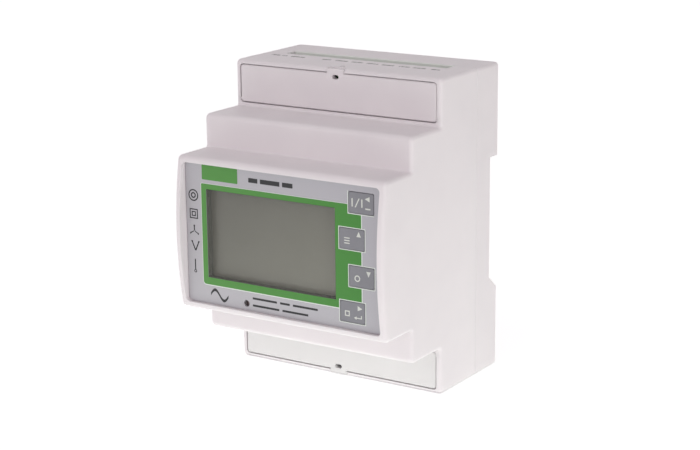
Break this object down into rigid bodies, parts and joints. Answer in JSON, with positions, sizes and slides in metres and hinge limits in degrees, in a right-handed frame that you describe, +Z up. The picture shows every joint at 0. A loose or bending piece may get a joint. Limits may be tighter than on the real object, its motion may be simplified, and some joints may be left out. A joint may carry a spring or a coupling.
{
  "type": "din rail energy meter",
  "caption": "Stepped white three-phase meter for a mounting rail, with a display, staggered keys, hinged terminal covers, terminal blocks and a sprung rail clip.",
  "frame": {"origin": "centre of the rail seat, at the middle of the width and of the height", "axes": "+X to the right seen from the front, +Y out of the rail seat towards the wall, +Z up"},
  "size_m": [0.072, 0.0667, 0.0944],
  "materials": {
    "housing_white": "fine matt moulding",
    "clip_grey": "satin moulding",
    "spring_steel": "bright rolled strip",
    "screw_zinc": "bright zinc plate",
    "label_silver": "fine matt film",
    "window_clear": "clear moulding",
    "display_grey": "satin polariser",
    "frame_white": "matt moulding",
    "strip_rubber": "matt rubber",
    "lamp_red": "clear red resin",
    "board_green": "satin lacquer",
    "switch_black": "matt moulding",
    "key_grey": "satin moulding",
    "potting_blue": "satin case",
    "link_copper": "bare copper",
    "core_steel": "varnished laminations",
    "terminal_green": "satin moulding",
    "cage_brass": "tinned brass"
  },
  "bodies": {
    "meter_body": {"front_housing": "housing_white", "rear_base": "housing_white", "case_screws": "screw_zinc", "clip_spring": "spring_steel", "front_label": "label_silver", "display_window": "window_clear", "display_glass": "display_grey", "display_frame": "frame_white", "light_panel": "frame_white", "contact_strips": "strip_rubber", "pulse_lamp": "lamp_red", "display_board": "board_green", "display_board_screws": "screw_zinc", "key_switches": "switch_black", "processor_chip": "switch_black", "display_header": "switch_black", "metering_board": "board_green", "board_spacers": "frame_white", "main_header": "switch_black", "main_board": "board_green", "current_transformers": "potting_blue", "primary_links": "link_copper", "supply_transformer": "core_steel", "filter_capacitors": "switch_black", "surge_discs": "potting_blue", "isolators": "switch_black", "upper_terminal_block": "terminal_green", "upper_terminal_screws": "screw_zinc", "upper_wire_cages": "cage_brass", "lower_terminal_block": "terminal_green", "lower_terminal_screws": "screw_zinc", "lower_wire_cages": "cage_brass"},
    "upper_cover": {"upper_terminal_cover": "housing_white"},
    "lower_cover": {"lower_terminal_cover": "housing_white"},
    "rail_clip": {"rail_clip": "clip_grey"},
    "escape_key": {"escape_key": "key_grey", "escape_key_plunger": "switch_black"},
    "up_key": {"up_key": "key_grey", "up_key_plunger": "switch_black"},
    "down_key": {"down_key": "key_grey", "down_key_plunger": "switch_black"},
    "enter_key": {"enter_key": "key_grey", "enter_key_plunger": "switch_black"}
  },
  "joints": [
    {"name": "upper_cover_hinge", "type": "hinge", "parent": "meter_body", "child": "upper_cover", "pos_m": [0, -0.0283, 0.0353], "axis": [1, 0, 0], "range_deg": [0, 90]},
    {"name": "lower_cover_hinge", "type": "hinge", "parent": "meter_body", "child": "lower_cover", "pos_m": [0, -0.0283, -0.0353], "axis": [-1, 0, 0], "range_deg": [0, 90]},
    {"name": "rail_clip_slide", "type": "slide", "parent": "meter_body", "child": "rail_clip", "axis": [0, 0, -1], "range_m": [0, 0.004], "stiffness_N_per_m": 1500, "springref_m": -0.001, "deforming": ["clip_spring"]},
    {"name": "escape_key_press", "type": "slide", "parent": "meter_body", "child": "escape_key", "axis": [0, 1, 0], "range_m": [0, 0.0004], "stiffness_N_per_m": 4000},
    {"name": "up_key_press", "type": "slide", "parent": "meter_body", "child": "up_key", "axis": [0, 1, 0], "range_m": [0, 0.0004], "stiffness_N_per_m": 4000},
    {"name": "down_key_press", "type": "slide", "parent": "meter_body", "child": "down_key", "axis": [0, 1, 0], "range_m": [0, 0.0004], "stiffness_N_per_m": 4000},
    {"name": "enter_key_press", "type": "slide", "parent": "meter_body", "child": "enter_key", "axis": [0, 1, 0], "range_m": [0, 0.0004], "stiffness_N_per_m": 4000}
  ]
}
